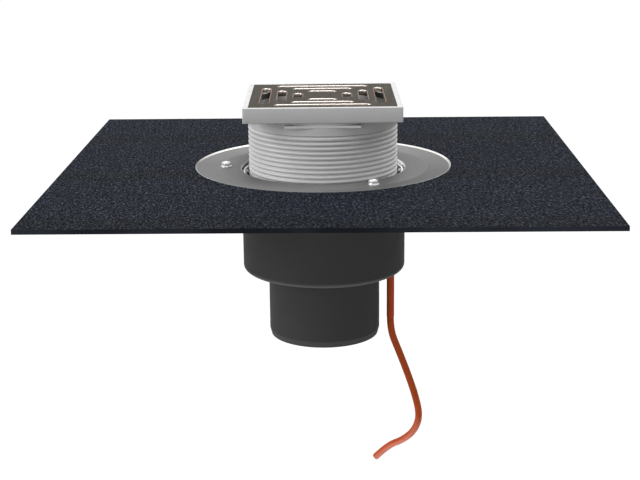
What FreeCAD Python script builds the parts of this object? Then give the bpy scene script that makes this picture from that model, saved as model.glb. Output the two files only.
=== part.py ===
import FreeCAD, Part
import math
import os

# A flat roof drain with a heated body, a factory-fitted bitumen collar and a height-adjustable
# extension that carries a square slotted grate. Millimetres, +Z up.
# The origin is on the drain's axis, at the underside of the collar, where the roof deck holds it.

Vector = FreeCAD.Vector
ORIGIN = Vector(0, 0, 0)
UP = Vector(0, 0, 1)
CLOSE = 1e-6

# Extension tube, with rings that mark where it may be sawn off
TUBE_R = 72.5
TUBE_WALL = 3.6
TUBE_FOOT_Z = -45.0
RING_PITCH = 4.5
RING_FIRST_DROP = 5.2
RING_GROOVE = 1.0
RING_CREST_FLAT = 1.9
TUBE_PLAIN_FOOT_H = 20.0
TUBE_FOOT_CHAMFER = 1.5
SPLICE_WALL = 1.8
SPLICE_H = 10.0
SPLICE_GAP = 0.05
SPLICE_END_GAP = 0.3

# Seal round the extension, and the light ring that holds it
HOLDER_CLEAR = 3.7
HOLDER_T = 2.2
HOLDER_TOP_Z = -1.4
HOLDER_BASE_T = 2.5
HOLDER_FOOT_CLEAR = 1.9
HOLDER_EDGE = 0.7
HOLDER_SIDE_GAP = 0.3
NUB_COUNT = 4
NUB_T = 2.4
NUB_H = 2.4
NUB_GAP = 0.8
SEAL_BACK_T = 1.8
SEAL_TOP_DROP = 5.5
SEAL_LIP_COUNT = 2
SEAL_LIP_T = 2.4
SEAL_LIP_TIP = 0.5
SEAL_LIP_LIFT = 0.8
SEAL_LIP_GAP = 0.1
SEAL_SIDE_GAP = 0.05

# Drain body: bowl, neck, flange and pipe spigot moulded in one
SPIGOT_R = 55.0
SPIGOT_WALL = 3.2
SPIGOT_END_Z = -168.0
SPIGOT_CHAMFER = 1.5
SPIGOT_CHAMFER_RUN = 6.0
BOWL_CLEAR = 3.9
BOWL_WALL = 3.6
BOWL_BOTTOM_Z = -100.5
BOWL_FOOT_FILLET = 5.0
BOWL_FLOOR_T = 11.5
BOWL_FLOOR_FALL = 3.0
BOWL_FLOOR_CHAMFER = 6.0
NECK_CLEAR = 5.6
NECK_WALL = 4.0
NECK_DEPTH = 17.6
BODY_FLANGE_INSET = 0.6
BODY_FLANGE_T = 5.0
BODY_FLANGE_EDGE = 1.5
WEB_COUNT = 12
WEB_T = 3.0
WEB_DROP = 16.0
WEB_INSET = 5.0

# Clamping flange, pressed from sheet metal
FLANGE_SEAT_Z = 0.2
FLANGE_T = 1.2
FLANGE_HOLE_CLEAR = 1.4
FLANGE_DISC_MARGIN = 6.5
FLANGE_CONE_W = 20.9
FLANGE_CONE_RISE = 1.3
FLANGE_RIM_W = 2.2
FLANGE_LIP_DROP = 3.6
FLANGE_LIP_BEND = 1.5
PRESS_GAP = 0.1
RIM_GAP = 0.3

# Collar sheet
COLLAR_SIDE = 500.0
COLLAR_T = 4.2
COLLAR_HOLE_MARGIN = 3.0
COLLAR_STEP_RUN = 6.0

# Clamping bolts, with their bosses, washers and nuts
BOLT_COUNT = 3
BOLT_INSET = 15.2
BOLT_FIRST_DEG = 60.0
BOLT_R = 2.5
BOLT_HEAD_FLATS = 8.0
BOLT_HEAD_H = 3.5
BOLT_POKE = 0.6
BOLT_CHAMFER = 0.4
BOLT_HOLE_GAP = 0.3
THREAD_GAP = 0.02
WASHER_R = 5.3
WASHER_T = 1.0
NUT_H = 3.6
BOSS_R = 7.0
BOSS_H = 12.0
POCKET_GAP = 0.15

# Grate frame, its collar and its four stop ledges
FRAME_TOP_Z = 71.6
FRAME_H = 14.1
FRAME_OVERHANG = 1.5
FRAME_BORDER = 5.0
FRAME_CORNER_R = 1.5
FRAME_TURN_DEG = 0.9
COLLAR_BAND_H = 13.1
LEDGE_W = 70.4
LEDGE_T = 2.3
LEDGE_DROP = 3.0
LEDGE_PROUD = 0.1
SIDES = 4

# Slotted grate, pressed from stainless sheet
GRATE_GAP = 0.3
GRATE_SINK = 0.2
GRATE_T = 1.5
GRATE_SKIRT_T = 1.5
GRATE_SKIRT_DROP = 2.8
GRATE_CORNER_R = 2.0
SLOT_W = 8.0
SLOT_RINGS = 3
SLOT_FIRST = 23.7
SLOT_EDGE = 13.7
SLOT_SETBACK = 10.4
SLOT_LIP_T = 0.9
SLOT_LIP_DROP = 2.4

# Heater in the bowl's floor, its cover, and the lead
GROOVE_MARGIN = 2.5
GROOVE_W = 12.6
GROOVE_DEPTH = 7.0
HEATER_T = 3.5
HEATER_SIDE_GAP = 0.6
COVER_SIDE_GAP = 0.1
SLEEVE_R = 3.8
SLEEVE_GAP = 0.05
SLEEVE_END_Z = -154.0
CABLE_R = 3.55
CABLE_ARC_SHARE = 0.45
# The cable's route from the sleeve's end: across, back and down
CABLE_ROUTE = [
    (0.0, 0.0, 0.0),
    (0.0, 0.0, 14.5),
    (8.3, 0.0, 35.5),
    (17.7, 0.0, 60.5),
    (26.5, 2.0, 87.8),
    (30.8, 6.0, 110.5),
    (25.7, 12.0, 128.9),
    (13.8, 20.0, 142.7),
    (-1.0, 30.0, 152.7),
    (-13.8, 38.0, 169.4),
]

# Radii that follow from the extension tube, from the inside out
tube_r_in = TUBE_R - TUBE_WALL
splice_r = tube_r_in + SPLICE_WALL
holder_foot_r = TUBE_R + HOLDER_FOOT_CLEAR
holder_r_in = TUBE_R + HOLDER_CLEAR
holder_r = holder_r_in + HOLDER_T
neck_r_in = holder_r + NECK_CLEAR
neck_r = neck_r_in + NECK_WALL
bowl_r_in = TUBE_R + BOWL_CLEAR
bowl_r = bowl_r_in + BOWL_WALL
collar_hole_r = neck_r_in + COLLAR_HOLE_MARGIN
flange_hole_r = holder_r + FLANGE_HOLE_CLEAR
bolt_circle_r = flange_hole_r + BOLT_INSET
flange_disc_r = bolt_circle_r + FLANGE_DISC_MARGIN
flange_cone_r = flange_disc_r + FLANGE_CONE_W
flange_r = flange_cone_r + FLANGE_RIM_W
body_flange_r = flange_r - BODY_FLANGE_INSET
web_reach_r = body_flange_r - WEB_INSET
spigot_r_in = SPIGOT_R - SPIGOT_WALL
groove_r_out = bowl_r - BOWL_FOOT_FILLET - GROOVE_MARGIN
groove_r_in = groove_r_out - GROOVE_W
lead_x = (groove_r_in + groove_r_out) / 2
frame_side = 2 * (TUBE_R + FRAME_OVERHANG)
recess_side = frame_side - 2 * FRAME_BORDER
grate_side = recess_side - 2 * GRATE_GAP
slot_pitch = (grate_side / 2 - SLOT_EDGE - SLOT_FIRST) / (SLOT_RINGS - 1)

# Heights that follow, from the flange down to the bolt heads, then the frame and the heater
flange_top_z = FLANGE_SEAT_Z + FLANGE_T
pressed_top_z = FLANGE_SEAT_Z - PRESS_GAP
pressed_under_z = pressed_top_z - COLLAR_T
body_top_z = pressed_under_z - PRESS_GAP
body_flange_under_z = body_top_z - BODY_FLANGE_T
shoulder_z = body_top_z - NECK_DEPTH
boss_foot_z = body_flange_under_z - BOSS_H
bolt_head_top_z = boss_foot_z + BOLT_HEAD_H
frame_under_z = FRAME_TOP_Z - FRAME_H
splice_z = frame_under_z - COLLAR_BAND_H
grate_top_z = FRAME_TOP_Z - GRATE_SINK
grate_under_z = grate_top_z - GRATE_T
recess_floor_z = grate_under_z - GRATE_SKIRT_DROP
heater_roof_z = BOWL_BOTTOM_Z + GROOVE_DEPTH
heater_under_z = heater_roof_z - HEATER_T


def line(start, end):
    return Part.LineSegment(start, end).toShape()


def outline(corners):
    """Closed wire in the XZ plane. A corner is (x, z), or (x, z, radius) where it is rounded."""
    points = [Vector(corner[0], 0, corner[1]) for corner in corners]
    entries, exits, arcs = [], [], []
    for i, point in enumerate(points):
        radius = corners[i][2] if len(corners[i]) > 2 else 0
        if radius == 0:
            entries.append(point)
            exits.append(point)
            arcs.append(None)
            continue
        back = (points[i - 1] - point).normalize()
        ahead = (points[(i + 1) % len(points)] - point).normalize()
        half = back.getAngle(ahead) / 2
        centre = point + (back + ahead).normalize() * (radius / math.sin(half))
        entries.append(point + back * (radius / math.tan(half)))
        exits.append(point + ahead * (radius / math.tan(half)))
        middle = centre + (point - centre).normalize() * radius
        arcs.append(Part.Arc(entries[i], middle, exits[i]).toShape())
    edges = []
    for i, arc in enumerate(arcs):
        if arc is not None:
            edges.append(arc)
        following = entries[(i + 1) % len(entries)]
        if exits[i].distanceToPoint(following) > CLOSE:
            edges.append(line(exits[i], following))
    return Part.Wire(edges)


def turned(corners):
    """Solid of revolution about the drain's axis, from its section's corners."""
    return Part.Face(outline(corners)).revolve(ORIGIN, UP, 360)


def cylinder(radius, z_low, z_high, x=0.0, y=0.0):
    return Part.makeCylinder(radius, z_high - z_low, Vector(x, y, z_low))


def tube(r_in, r_out, z_low, z_high):
    return cylinder(r_out, z_low, z_high).cut(cylinder(r_in, z_low, z_high))


def box(x_low, x_high, y_low, y_high, z_low, z_high):
    corner = Vector(x_low, y_low, z_low)
    return Part.makeBox(x_high - x_low, y_high - y_low, z_high - z_low, corner)


def is_upright(edge):
    return edge.tangentAt(edge.FirstParameter).cross(UP).Length < CLOSE


def square(side, z_low, z_high, corner_r=0.0):
    """Upright square block about the axis, with its four upright edges rounded."""
    block = box(-side / 2, side / 2, -side / 2, side / 2, z_low, z_high)
    if corner_r == 0:
        return block
    return block.makeFillet(corner_r, [edge for edge in block.Edges if is_upright(edge)])


def hexagon(flats, z_low, z_high, x=0.0, y=0.0):
    corner_r = flats / math.sqrt(3)
    corners = []
    for k in range(7):
        angle = math.radians(60 * k)
        corners.append(Vector(x + corner_r * math.cos(angle), y + corner_r * math.sin(angle), z_low))
    return Part.Face(Part.makePolygon(corners)).extrude(UP * (z_high - z_low))


def racetrack(length, width, z_low, z_high):
    """Upright block with straight sides along X and round ends."""
    half = length / 2 - width / 2
    r = width / 2
    edges = [
        line(Vector(-half, -r, z_low), Vector(half, -r, z_low)),
        Part.Arc(Vector(half, -r, z_low), Vector(half + r, 0, z_low), Vector(half, r, z_low)).toShape(),
        line(Vector(half, r, z_low), Vector(-half, r, z_low)),
        Part.Arc(Vector(-half, r, z_low), Vector(-half - r, 0, z_low), Vector(-half, -r, z_low)).toShape(),
    ]
    return Part.Face(Part.Wire(edges)).extrude(UP * (z_high - z_low))


def spun(shape, degrees):
    copy = shape.copy()
    copy.rotate(ORIGIN, UP, degrees)
    return copy


def around(shape, count, first_deg=0.0):
    """Copies of a shape, evenly spaced about the axis."""
    return [spun(shape, first_deg + 360.0 * k / count) for k in range(count)]


def bolt_places(shape):
    """The shape, modelled on +X at the bolt circle, at each clamping bolt."""
    return around(shape, BOLT_COUNT, BOLT_FIRST_DEG)


def cone_z(radius, base_z):
    """Height of the flange's cone above base_z, at a radius in or beyond its outer zone."""
    slope = FLANGE_CONE_RISE / (flange_cone_r - flange_disc_r)
    return base_z + slope * (radius - flange_disc_r)


def make_clamping_flange():
    lip_z = FLANGE_SEAT_Z - FLANGE_LIP_DROP
    plate = turned([
        (flange_hole_r, lip_z),
        (flange_hole_r, flange_top_z, FLANGE_LIP_BEND),
        (flange_disc_r, flange_top_z),
        (flange_cone_r, cone_z(flange_cone_r, flange_top_z)),
        (flange_r, COLLAR_T),
        (flange_r, COLLAR_T - FLANGE_T),
        (flange_cone_r, cone_z(flange_cone_r, FLANGE_SEAT_Z)),
        (flange_disc_r, FLANGE_SEAT_Z),
        (flange_hole_r + FLANGE_T, FLANGE_SEAT_Z),
        (flange_hole_r + FLANGE_T, lip_z),
    ])
    hole = cylinder(BOLT_R + BOLT_HOLE_GAP, lip_z, COLLAR_T, bolt_circle_r)
    return plate.cut(bolt_places(hole))


def make_bitumen_collar():
    shoulder_r = flange_r + RIM_GAP
    step_r = flange_cone_r + COLLAR_STEP_RUN
    sheet = square(COLLAR_SIDE, 0, COLLAR_T).cut(cylinder(step_r + COLLAR_STEP_RUN, 0, COLLAR_T))
    pressed = turned([
        (collar_hole_r, pressed_under_z),
        (flange_disc_r, pressed_under_z),
        (flange_cone_r, cone_z(flange_cone_r, pressed_under_z)),
        (step_r, 0),
        (step_r + COLLAR_STEP_RUN, 0),
        (step_r + COLLAR_STEP_RUN, COLLAR_T),
        (shoulder_r, COLLAR_T),
        (shoulder_r, COLLAR_T - FLANGE_T - PRESS_GAP),
        (flange_cone_r, cone_z(flange_cone_r, pressed_top_z)),
        (flange_disc_r, pressed_top_z),
        (collar_hole_r, pressed_top_z),
    ])
    hole = cylinder(BOLT_R + BOLT_HOLE_GAP, pressed_under_z, COLLAR_T, bolt_circle_r)
    return sheet.fuse(pressed).removeSplitter().cut(bolt_places(hole))


def make_drain_body():
    floor_z = BOWL_BOTTOM_Z + BOWL_FLOOR_T
    throat_z = floor_z - BOWL_FLOOR_FALL
    chamfer_z = SPIGOT_END_Z + SPIGOT_CHAMFER_RUN
    neck_foot_z = shoulder_z - NECK_WALL
    shell = turned([
        (spigot_r_in, SPIGOT_END_Z),
        (SPIGOT_R - SPIGOT_CHAMFER, SPIGOT_END_Z),
        (SPIGOT_R, chamfer_z),
        (SPIGOT_R, BOWL_BOTTOM_Z),
        (bowl_r, BOWL_BOTTOM_Z, BOWL_FOOT_FILLET),
        (bowl_r, neck_foot_z - (neck_r - bowl_r)),
        (neck_r, neck_foot_z),
        (neck_r, body_flange_under_z),
        (body_flange_r - BODY_FLANGE_EDGE, body_flange_under_z),
        (body_flange_r, body_flange_under_z + BODY_FLANGE_EDGE),
        (body_flange_r, cone_z(flange_cone_r, body_top_z)),
        (flange_cone_r, cone_z(flange_cone_r, body_top_z)),
        (flange_disc_r, body_top_z),
        (neck_r_in, body_top_z),
        (neck_r_in, shoulder_z),
        (bowl_r_in, shoulder_z),
        (bowl_r_in, floor_z + BOWL_FLOOR_CHAMFER),
        (bowl_r_in - BOWL_FLOOR_CHAMFER, floor_z),
        (spigot_r_in, throat_z),
    ])
    boss = cylinder(BOSS_R, boss_foot_z, body_flange_under_z + BODY_FLANGE_T / 2, bolt_circle_r)
    shell = shell.fuse(bolt_places(boss) + make_webs())
    hole = cylinder(BOLT_R + BOLT_HOLE_GAP, boss_foot_z, COLLAR_T, bolt_circle_r)
    pocket = hexagon(BOLT_HEAD_FLATS + 2 * POCKET_GAP, boss_foot_z, bolt_head_top_z, bolt_circle_r)
    groove = tube(groove_r_in, groove_r_out, BOWL_BOTTOM_Z, heater_roof_z)
    return shell.cut(bolt_places(hole) + bolt_places(pocket) + [groove]).removeSplitter()


def make_webs():
    """Triangular webs that brace the body's flange against its neck."""
    root_r = neck_r - NECK_WALL / 2
    top_z = body_flange_under_z + BODY_FLANGE_T / 2
    corners = [
        Vector(root_r, -WEB_T / 2, top_z),
        Vector(web_reach_r, -WEB_T / 2, top_z),
        Vector(web_reach_r, -WEB_T / 2, body_flange_under_z - WEB_T / 2),
        Vector(root_r + NECK_WALL, -WEB_T / 2, body_flange_under_z - WEB_DROP),
        Vector(root_r, -WEB_T / 2, body_flange_under_z - WEB_DROP),
    ]
    web = Part.Face(Part.makePolygon(corners + corners[:1])).extrude(Vector(0, WEB_T, 0))
    return around(web, WEB_COUNT, 180.0 / WEB_COUNT)


def make_bolt():
    tip_z = flange_top_z + WASHER_T + NUT_H + BOLT_POKE
    shank = turned([
        (0, bolt_head_top_z),
        (BOLT_R, bolt_head_top_z),
        (BOLT_R, tip_z - BOLT_CHAMFER),
        (BOLT_R - BOLT_CHAMFER, tip_z),
        (0, tip_z),
    ])
    bolt = shank.fuse(hexagon(BOLT_HEAD_FLATS, boss_foot_z, bolt_head_top_z))
    bolt.translate(Vector(bolt_circle_r, 0, 0))
    return bolt


def make_washer():
    washer = tube(BOLT_R + BOLT_HOLE_GAP, WASHER_R, flange_top_z, flange_top_z + WASHER_T)
    washer.translate(Vector(bolt_circle_r, 0, 0))
    return washer


def make_nut():
    low = flange_top_z + WASHER_T
    bore = cylinder(BOLT_R + THREAD_GAP, low, low + NUT_H)
    nut = hexagon(BOLT_HEAD_FLATS, low, low + NUT_H).cut(bore)
    nut.translate(Vector(bolt_circle_r, 0, 0))
    return nut


def make_seal_holder():
    """Light ring that stands in the neck, holds the lip seal and centres the extension."""
    base_z = shoulder_z + HOLDER_BASE_T
    ring = turned([
        (holder_foot_r, shoulder_z),
        (neck_r_in - HOLDER_SIDE_GAP, shoulder_z),
        (neck_r_in - HOLDER_SIDE_GAP, base_z),
        (holder_r, base_z),
        (holder_r, HOLDER_TOP_Z - HOLDER_EDGE),
        (holder_r - HOLDER_EDGE, HOLDER_TOP_Z),
        (holder_r_in + HOLDER_EDGE, HOLDER_TOP_Z),
        (holder_r_in, HOLDER_TOP_Z - HOLDER_EDGE),
        (holder_r_in, base_z),
        (holder_foot_r, base_z),
    ])
    nub_top = HOLDER_TOP_Z - HOLDER_EDGE
    root_r = holder_r_in + HOLDER_T / 2
    nub = box(TUBE_R + NUB_GAP, root_r, -NUB_T / 2, NUB_T / 2, nub_top - NUB_H, nub_top)
    return ring.fuse(around(nub, NUB_COUNT))


def make_lip_seal():
    """Rubber ring with lips that wipe the extension's rings."""
    back_r = holder_r_in - SEAL_SIDE_GAP
    lip_root_r = back_r - SEAL_BACK_T
    tip_r = TUBE_R + SEAL_LIP_GAP
    low = shoulder_z + HOLDER_BASE_T
    high = HOLDER_TOP_Z - SEAL_TOP_DROP
    step = (high - low) / SEAL_LIP_COUNT
    corners = [(back_r, low), (back_r, high), (lip_root_r, high)]
    for k in reversed(range(SEAL_LIP_COUNT)):
        lip_low = low + step * (k + 0.5) - SEAL_LIP_T / 2
        tip_low = lip_low + SEAL_LIP_LIFT + (SEAL_LIP_T - SEAL_LIP_TIP) / 2
        corners += [
            (lip_root_r, lip_low + SEAL_LIP_T),
            (tip_r, tip_low + SEAL_LIP_TIP),
            (tip_r, tip_low),
            (lip_root_r, lip_low),
        ]
    corners.append((lip_root_r, low))
    return turned(corners)


def make_extension_tube():
    """Tube with rings at an even pitch, a plain foot, and a thin splice on top for the frame's collar."""
    groove_r = TUBE_R - RING_GROOVE
    flank = (RING_PITCH - RING_CREST_FLAT) / 2
    seam_z = splice_z - SPLICE_GAP
    first_z = seam_z - RING_FIRST_DROP
    rings = 1 + int((first_z - TUBE_FOOT_Z - TUBE_PLAIN_FOOT_H) / RING_PITCH)
    corners = [
        (tube_r_in, TUBE_FOOT_Z),
        (TUBE_R - TUBE_FOOT_CHAMFER, TUBE_FOOT_Z),
        (TUBE_R, TUBE_FOOT_Z + TUBE_FOOT_CHAMFER),
        (TUBE_R, first_z - RING_PITCH * (rings - 1) - flank),
    ]
    for k in reversed(range(rings)):
        groove_z = first_z - RING_PITCH * k
        corners += [
            (groove_r, groove_z),
            (TUBE_R, groove_z + flank),
            (TUBE_R, groove_z + flank + RING_CREST_FLAT),
        ]
    corners += [
        (groove_r, seam_z),
        (splice_r, seam_z),
        (splice_r, splice_z + SPLICE_H),
        (tube_r_in, splice_z + SPLICE_H),
    ]
    return turned(corners)


def make_grate_frame():
    """Square frame with a round collar that turns on the tube's splice."""
    shell = square(frame_side, frame_under_z, FRAME_TOP_Z, FRAME_CORNER_R)
    shell = shell.cut(square(recess_side, recess_floor_z, FRAME_TOP_Z))
    band = cylinder(TUBE_R, splice_z, frame_under_z)
    ledge_high = frame_under_z - LEDGE_DROP
    ledge_low = ledge_high - LEDGE_T
    ledge_face = TUBE_R + LEDGE_PROUD
    ledge_root = tube_r_in - LEDGE_W / 4
    ledge = box(-LEDGE_W / 2, LEDGE_W / 2, -ledge_face, -ledge_root, ledge_low, ledge_high)
    shell = shell.fuse([band] + around(ledge, SIDES))
    socket_r = splice_r + SPLICE_GAP
    socket_top = splice_z + SPLICE_H + SPLICE_END_GAP
    bore = cylinder(tube_r_in, splice_z, FRAME_TOP_Z)
    shell = shell.cut([bore, cylinder(socket_r, splice_z, socket_top)])
    return spun(shell.removeSplitter(), FRAME_TURN_DEG)


def slot_places():
    """Distance from the axis and overall length of each slot on one side of the grate."""
    places = []
    for k in range(SLOT_RINGS):
        distance = SLOT_FIRST + slot_pitch * k
        places.append((distance, 2 * (distance - SLOT_SETBACK)))
    return places


def make_grate():
    """Slotted plate with a skirt that stands on the frame's floor, and a lip turned down round each slot."""
    lip_z = grate_under_z - SLOT_LIP_DROP
    tray = square(grate_side, recess_floor_z, grate_top_z, GRATE_CORNER_R)
    tray = tray.cut(square(grate_side - 2 * GRATE_SKIRT_T, recess_floor_z, grate_under_z))
    lips, slots = [], []
    for distance, length in slot_places():
        lip = racetrack(length + 2 * SLOT_LIP_T, SLOT_W + 2 * SLOT_LIP_T, lip_z, grate_under_z)
        slot = racetrack(length, SLOT_W, lip_z, grate_top_z)
        for shape, group in ((lip, lips), (slot, slots)):
            shape.translate(Vector(0, -distance, 0))
            group += around(shape, SIDES)
    return spun(tray.fuse(lips).removeSplitter().cut(slots), FRAME_TURN_DEG)


def make_heating_element():
    r_in = groove_r_in + HEATER_SIDE_GAP
    r_out = groove_r_out - HEATER_SIDE_GAP
    return tube(r_in, r_out, heater_under_z, heater_roof_z)


def make_heater_cover():
    r_in = groove_r_in + COVER_SIDE_GAP
    r_out = groove_r_out - COVER_SIDE_GAP
    cover = tube(r_in, r_out, BOWL_BOTTOM_Z, heater_under_z)
    return cover.cut(cylinder(SLEEVE_R + SLEEVE_GAP, BOWL_BOTTOM_Z, heater_under_z, lead_x))


def make_cable_sleeve():
    return cylinder(SLEEVE_R, SLEEVE_END_Z, heater_under_z, lead_x)


def cable_path():
    """Straight runs joined by tangent arcs, each as large as its two runs allow."""
    points = [Vector(lead_x + across, back, SLEEVE_END_Z - down) for across, back, down in CABLE_ROUTE]
    edges, radii = [], []
    start = points[0]
    for before, corner, after in zip(points, points[1:], points[2:]):
        toward = before - corner
        onward = after - corner
        reach = CABLE_ARC_SHARE * min(toward.Length, onward.Length)
        half_turn = (math.pi - toward.getAngle(onward)) / 2
        radius = reach / math.tan(half_turn)
        entry = corner + toward.normalize() * reach
        leave = corner + onward.normalize() * reach
        inward = (toward + onward).normalize()
        middle = corner + inward * (radius / math.cos(half_turn) - radius)
        edges += [line(start, entry), Part.Arc(entry, middle, leave).toShape()]
        radii.append(round(radius, 1))
        start = leave
    edges.append(line(start, points[-1]))
    return Part.Wire(edges), radii


def make_heating_cable():
    path, radii = cable_path()
    first = path.OrderedEdges[0]
    start = first.FirstParameter
    circle = Part.makeCircle(CABLE_R, first.valueAt(start), first.tangentAt(start))
    cable = path.makePipeShell([Part.Wire(circle)], True, False)
    expected = math.pi * CABLE_R ** 2 * path.Length
    print("cable arc radii", radii)
    print("cable length", round(path.Length, 1), "volume ratio", round(cable.Volume / expected, 4))
    return cable


def all_parts():
    parts = {
        "drain_body": make_drain_body(),
        "bitumen_collar": make_bitumen_collar(),
        "clamping_flange": make_clamping_flange(),
        "seal_holder": make_seal_holder(),
        "lip_seal": make_lip_seal(),
        "extension_tube": make_extension_tube(),
        "grate_frame": make_grate_frame(),
        "grate": make_grate(),
        "heating_element": make_heating_element(),
        "heater_cover": make_heater_cover(),
        "cable_sleeve": make_cable_sleeve(),
        "heating_cable": make_heating_cable(),
    }
    fasteners = {"clamp_bolt": make_bolt(), "clamp_washer": make_washer(), "clamp_nut": make_nut()}
    for name, shape in fasteners.items():
        for k, placed in enumerate(bolt_places(shape)):
            parts[f"{name}_{k + 1}"] = placed
    return parts


os.makedirs("parts", exist_ok=True)
for node, solid in all_parts().items():
    solid.exportStep(f"parts/{node}.step")
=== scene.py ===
import math

import bmesh
import bpy
from mathutils import Matrix, Vector


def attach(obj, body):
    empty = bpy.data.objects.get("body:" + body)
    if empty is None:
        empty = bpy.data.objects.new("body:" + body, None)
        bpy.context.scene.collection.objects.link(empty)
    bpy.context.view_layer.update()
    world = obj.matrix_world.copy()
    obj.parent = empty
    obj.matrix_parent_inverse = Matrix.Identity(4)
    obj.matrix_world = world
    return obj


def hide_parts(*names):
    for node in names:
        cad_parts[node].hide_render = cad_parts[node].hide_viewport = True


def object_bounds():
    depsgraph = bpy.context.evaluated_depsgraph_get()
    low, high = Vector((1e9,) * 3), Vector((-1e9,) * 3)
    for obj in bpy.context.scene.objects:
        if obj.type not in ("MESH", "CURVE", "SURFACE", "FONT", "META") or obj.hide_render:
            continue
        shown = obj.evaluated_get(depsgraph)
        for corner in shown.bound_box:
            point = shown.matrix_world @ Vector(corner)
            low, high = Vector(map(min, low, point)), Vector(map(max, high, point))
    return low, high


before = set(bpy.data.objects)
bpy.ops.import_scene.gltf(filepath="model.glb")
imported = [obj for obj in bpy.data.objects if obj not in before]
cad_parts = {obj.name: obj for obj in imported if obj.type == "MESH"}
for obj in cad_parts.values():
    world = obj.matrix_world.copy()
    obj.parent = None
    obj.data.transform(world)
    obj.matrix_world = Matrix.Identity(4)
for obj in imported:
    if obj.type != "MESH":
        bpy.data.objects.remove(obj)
cad_low, cad_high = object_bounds()

# Lengths of meshes are in millimetres, and those of materials, camera and lights in metres.
MM = 0.001


# Camera and cord

SENSOR_MM = 36.0
LENS_MM = 78.923
HALF_PIXEL = 0.5 / 640
CAMERA_PLACE = (0.02009, -1.34510, 0.29152)
CAMERA_RIGHT = Vector((0.99984063, 0.01472202, -0.01009821))
CAMERA_UP = Vector((0.00588085, 0.2624689, 0.96492253))
CLIP_START = 0.05
CLIP_END = 60.0


def place_camera():
    data = bpy.data.cameras.new("camera")
    data.sensor_width = SENSOR_MM
    data.lens = LENS_MM
    data.shift_x = -HALF_PIXEL
    data.shift_y = HALF_PIXEL
    data.clip_start = CLIP_START
    data.clip_end = CLIP_END
    camera = bpy.data.objects.new("camera", data)
    bpy.context.scene.collection.objects.link(camera)
    back = CAMERA_RIGHT.cross(CAMERA_UP)
    place = Matrix((CAMERA_RIGHT, CAMERA_UP, back)).transposed().to_4x4()
    place.translation = CAMERA_PLACE
    camera.matrix_world = place
    bpy.context.scene.camera = camera


place_camera()

CABLE_R = 3.55
LEAD_POINTS = [
    (66.2, 0.0, -154.0),
    (66.2, 0.0, -168.5),
    (74.5, 0.0, -189.5),
    (83.9, 0.0, -214.5),
    (92.7, 2.0, -241.8),
    (97.0, 6.0, -264.5),
    (91.9, 12.0, -282.9),
    (80.0, 20.0, -296.7),
    (65.2, 30.0, -306.7),
    (52.4, 38.0, -323.4),
]


def make_lead():
    """One smooth curve; the points' radius brings its thickness from millimetres to metres."""
    curve = bpy.data.curves.new("lead_curve", "CURVE")
    curve.dimensions = "3D"
    spline = curve.splines.new("NURBS")
    spline.points.add(len(LEAD_POINTS) - 1)
    for point, (x, y, z) in zip(spline.points, LEAD_POINTS):
        point.co = (x * MM, y * MM, z * MM, 1)
        point.radius = MM
    spline.order_u = 3
    spline.use_endpoint_u = True
    spline.resolution_u = 20
    curve.bevel_depth = CABLE_R
    curve.bevel_resolution = 8
    curve.use_fill_caps = True
    lead = bpy.data.objects.new("lead", curve)
    bpy.context.scene.collection.objects.link(lead)
    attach(lead, "drain")
    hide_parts("heating_cable")
    return lead


lead = make_lead()


# Meshes

CIRCLE_STEPS = 160
SIDE_STEPS = 28
CORNER_STEPS = 8
SLOT_END_STEPS = 14
SHARP_DEG = 34
BEVEL_FROM_DEG = 40
# Keeps faces from lying in one another, and sections just off the axis
HAIR = 0.02


def rounded(corners, steps=5, closed=True):
    """Points of a section in (r, z), with an arc at each corner that has a radius."""
    points = [Vector(corner[:2]) for corner in corners]
    found = []
    for i, point in enumerate(points):
        radius = corners[i][2] if len(corners[i]) > 2 else 0
        if radius == 0 or (not closed and i in (0, len(points) - 1)):
            found.append(tuple(point))
            continue
        back = (points[i - 1] - point).normalized()
        ahead = (points[(i + 1) % len(points)] - point).normalized()
        half = back.angle(ahead) / 2
        centre = point + (back + ahead).normalized() * (radius / math.sin(half))
        start = point + back * (radius / math.tan(half)) - centre
        end = point + ahead * (radius / math.tan(half)) - centre
        turn = math.atan2(start.x * end.y - start.y * end.x, start.dot(end))
        first = math.atan2(start.y, start.x)
        for k in range(steps + 1):
            angle = first + turn * k / steps
            found.append((centre.x + radius * math.cos(angle), centre.y + radius * math.sin(angle)))
    return found


def circle_ring(radius, z, steps=CIRCLE_STEPS):
    ring = []
    for k in range(steps):
        angle = 2 * math.pi * k / steps
        ring.append((radius * math.cos(angle), radius * math.sin(angle), z))
    return ring


def square_ring(half, corner_r, z):
    """Rounded square about the axis, with the same number of points whatever its size."""
    ring = []
    flat = half - corner_r
    for c, s in ((1, 0), (0, 1), (-1, 0), (0, -1)):
        local = [(half, -flat + 2 * flat * k / SIDE_STEPS) for k in range(SIDE_STEPS)]
        for k in range(CORNER_STEPS):
            angle = math.pi / 2 * k / CORNER_STEPS
            local.append((flat + corner_r * math.cos(angle), flat + corner_r * math.sin(angle)))
        ring += [(x * c - y * s, x * s + y * c, z) for x, y in local]
    return ring


def matching_circle(radius, z, half):
    """Circle whose points stand at the same angles as those of a square ring."""
    ring = []
    for x, y, _ in square_ring(half, 0.5, 0):
        distance = math.hypot(x, y)
        ring.append((x * radius / distance, y * radius / distance, z))
    return ring


def racetrack_ring(length, width, offset, z):
    """Outline of a slot, moved outwards by the offset."""
    half = length / 2 - width / 2
    r = width / 2 + offset
    ring = []
    for side in (1, -1):
        for k in range(SLOT_END_STEPS + 1):
            angle = -math.pi / 2 + math.pi * k / SLOT_END_STEPS
            ring.append((side * (half + r * math.cos(angle)), side * r * math.sin(angle), z))
    return ring


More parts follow.
